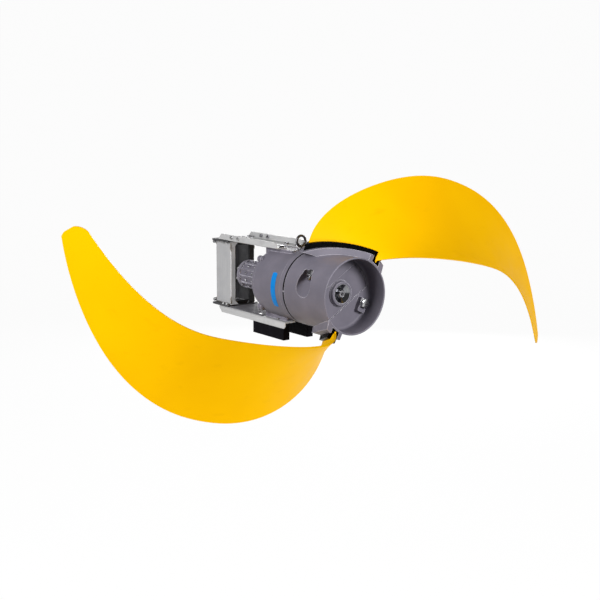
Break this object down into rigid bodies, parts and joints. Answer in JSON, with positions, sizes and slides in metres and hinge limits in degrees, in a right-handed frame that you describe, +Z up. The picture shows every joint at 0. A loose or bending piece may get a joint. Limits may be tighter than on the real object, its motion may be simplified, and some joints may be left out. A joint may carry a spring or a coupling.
{
  "type": "submersible mixer",
  "caption": "Slow-running submersible mixer: swept propeller on a planetary-geared underwater motor, with a claw that slides on a square guide bar.",
  "frame": {"origin": "on the guide bar's centre line, at the height of the propeller's axis", "axes": "+Z up along the guide bar, -Y along the propeller's axis towards the front, +X to the right seen from the front"},
  "size_m": [2.4254, 1.0832, 0.9274],
  "materials": {
    "cast_housing": "semi-gloss grey coating on cast iron",
    "hub_casting": "semi-gloss grey coating on cast iron",
    "blade_coating": "smooth yellow coat on fibre-reinforced plastic",
    "boot_rubber": "black moulded rubber",
    "foot_rubber": "near-black rubber",
    "stainless_sheet": "brushed and folded stainless sheet",
    "stainless_rod": "drawn stainless rod",
    "stainless_fasteners": "plain stainless fasteners",
    "polished_steel": "turned and polished stainless dish",
    "forged_steel": "darker forged steel",
    "liner_plastic": "dark wear-resistant plastic",
    "label_film": "plain blue film, left blank",
    "gland_steel": "turned stainless",
    "machined_steel": "ground and hobbed steel",
    "bearing_steel": "ground bearing steel",
    "seal_carbide": "lapped dark carbide",
    "cast_iron_parts": "bare grey cast iron",
    "lamination_steel": "stacked sheet steel",
    "copper_winding": "varnished copper winding"
  },
  "bodies": {
    "drive_frame": {"motor_housing": "cast_housing", "gear_housing": "cast_iron_parts", "gear_housing_screws": "stainless_fasteners", "ring_gear": "machined_steel", "bearing_shield": "cast_iron_parts", "stator_core": "lamination_steel", "stator_windings": "copper_winding", "main_bearing_outer_rings": "bearing_steel", "seal_seat": "seal_carbide", "rotor_bearing_outer_rings": "bearing_steel", "label_band": "label_film", "oil_plugs": "stainless_fasteners", "rear_cover": "cast_housing", "rear_cap": "cast_housing", "cover_screws": "stainless_fasteners", "cable_gland": "gland_steel", "claw_channel_left": "stainless_sheet", "claw_channel_right": "stainless_sheet", "guide_liner_left": "liner_plastic", "guide_liner_right": "liner_plastic", "claw_end_plate_top": "stainless_sheet", "claw_end_plate_bottom": "stainless_sheet", "claw_gussets": "stainless_sheet", "cross_rods": "stainless_rod", "top_bar_left": "stainless_sheet", "top_bar_right": "stainless_sheet", "bottom_bar_left": "stainless_sheet", "bottom_bar_right": "stainless_sheet", "pad_bolts": "stainless_fasteners", "claw_bolts": "stainless_fasteners", "claw_nuts": "stainless_fasteners", "rubber_foot_left": "foot_rubber", "rubber_foot_right": "foot_rubber", "foot_screws": "stainless_fasteners", "lifting_eye": "forged_steel"},
    "propeller": {"hub": "hub_casting", "blade_a": "blade_coating", "blade_b": "blade_coating", "blade_boot_a": "boot_rubber", "blade_boot_b": "boot_rubber", "clamp_bolts": "stainless_fasteners", "cup_bolts": "stainless_fasteners", "retaining_dish": "polished_steel", "retaining_screw": "stainless_fasteners", "output_shaft": "machined_steel", "shaft_key": "machined_steel", "output_planet_pins": "machined_steel", "main_bearing_inner_rings": "bearing_steel", "seal_ring": "seal_carbide"},
    "input_stage": {"input_carrier": "machined_steel", "input_planet_pins": "machined_steel"},
    "rotor": {"rotor_shaft": "machined_steel", "rotor_core": "lamination_steel", "rotor_bearing_inner_rings": "bearing_steel"},
    "output_planet_1_body": {"output_planet_1": "machined_steel"},
    "output_planet_2_body": {"output_planet_2": "machined_steel"},
    "output_planet_3_body": {"output_planet_3": "machined_steel"},
    "input_planet_1_body": {"input_planet_1": "machined_steel"},
    "input_planet_2_body": {"input_planet_2": "machined_steel"},
    "input_planet_3_body": {"input_planet_3": "machined_steel"}
  },
  "joints": [
    {"name": "propeller_spin", "type": "hinge", "parent": "drive_frame", "child": "propeller", "pos_m": [0, -0.8, 0], "axis": [0, -1, 0], "continuous": true},
    {"name": "input_carrier_spin", "type": "hinge", "parent": "drive_frame", "child": "input_stage", "pos_m": [0, -0.61, 0], "axis": [0, -1, 0], "continuous": true},
    {"name": "rotor_spin", "type": "hinge", "parent": "drive_frame", "child": "rotor", "pos_m": [0, -0.47, 0], "axis": [0, -1, 0], "continuous": true},
    {"name": "output_planet_1_spin", "type": "hinge", "parent": "propeller", "child": "output_planet_1_body", "pos_m": [0, -0.6274, 0.0525], "axis": [0, -1, 0], "continuous": true},
    {"name": "output_planet_2_spin", "type": "hinge", "parent": "propeller", "child": "output_planet_2_body", "pos_m": [-0.04547, -0.6274, -0.02625], "axis": [0, -1, 0], "continuous": true},
    {"name": "output_planet_3_spin", "type": "hinge", "parent": "propeller", "child": "output_planet_3_body", "pos_m": [0.04547, -0.6274, -0.02625], "axis": [0, -1, 0], "continuous": true},
    {"name": "input_planet_1_spin", "type": "hinge", "parent": "input_stage", "child": "input_planet_1_body", "pos_m": [0, -0.5949, 0.0525], "axis": [0, -1, 0], "continuous": true},
    {"name": "input_planet_2_spin", "type": "hinge", "parent": "input_stage", "child": "input_planet_2_body", "pos_m": [-0.04547, -0.5949, -0.02625], "axis": [0, -1, 0], "continuous": true},
    {"name": "input_planet_3_spin", "type": "hinge", "parent": "input_stage", "child": "input_planet_3_body", "pos_m": [0.04547, -0.5949, -0.02625], "axis": [0, -1, 0], "continuous": true}
  ],
  "couplings": [
    {"joint": "input_carrier_spin", "follows": "propeller_spin", "ratio": 5},
    {"joint": "rotor_spin", "follows": "propeller_spin", "ratio": 25},
    {"joint": "output_planet_1_spin", "follows": "propeller_spin", "ratio": -2.6667},
    {"joint": "output_planet_2_spin", "follows": "propeller_spin", "ratio": -2.6667},
    {"joint": "output_planet_3_spin", "follows": "propeller_spin", "ratio": -2.6667},
    {"joint": "input_planet_1_spin", "follows": "propeller_spin", "ratio": -13.333},
    {"joint": "input_planet_2_spin", "follows": "propeller_spin", "ratio": -13.333},
    {"joint": "input_planet_3_spin", "follows": "propeller_spin", "ratio": -13.333}
  ]
}
